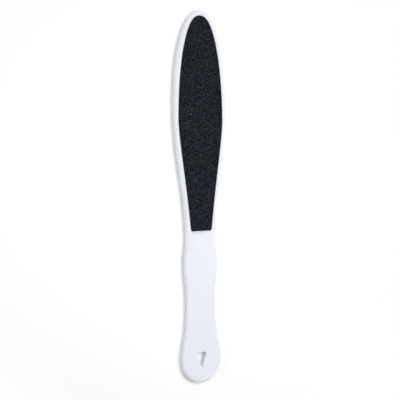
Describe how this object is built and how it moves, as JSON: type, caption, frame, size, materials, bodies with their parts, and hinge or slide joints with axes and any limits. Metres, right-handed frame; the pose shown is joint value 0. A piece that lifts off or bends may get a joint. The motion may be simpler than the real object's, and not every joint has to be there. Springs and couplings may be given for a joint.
{
  "type": "foot file",
  "caption": "Flat paddle-shaped foot file: an oval blade with an abrasive sheet in each face, a waisted grip and a rounded triangular hanging hole.",
  "frame": {"origin": "middle of its footprint on the surface it lies on, rear sheet down", "axes": "+Y towards the rounded tip of the blade, +Z out of the front face, +X across the blade"},
  "size_m": [0.0392, 0.262, 0.0054],
  "materials": {
    "moulding": "semi-gloss cool white injection moulding",
    "adhesive": "clear pressure-sensitive film",
    "backing": "brown abrasive backing paper with a cut edge",
    "coarse_grit": "coarse black mineral grit in resin",
    "fine_grit": "fine black mineral grit in resin"
  },
  "bodies": {
    "root": {"handle": "moulding", "front_adhesive": "adhesive", "front_backing": "backing", "front_grit": "coarse_grit", "rear_adhesive": "adhesive", "rear_backing": "backing", "rear_grit": "fine_grit"}
  },
  "joints": []
}
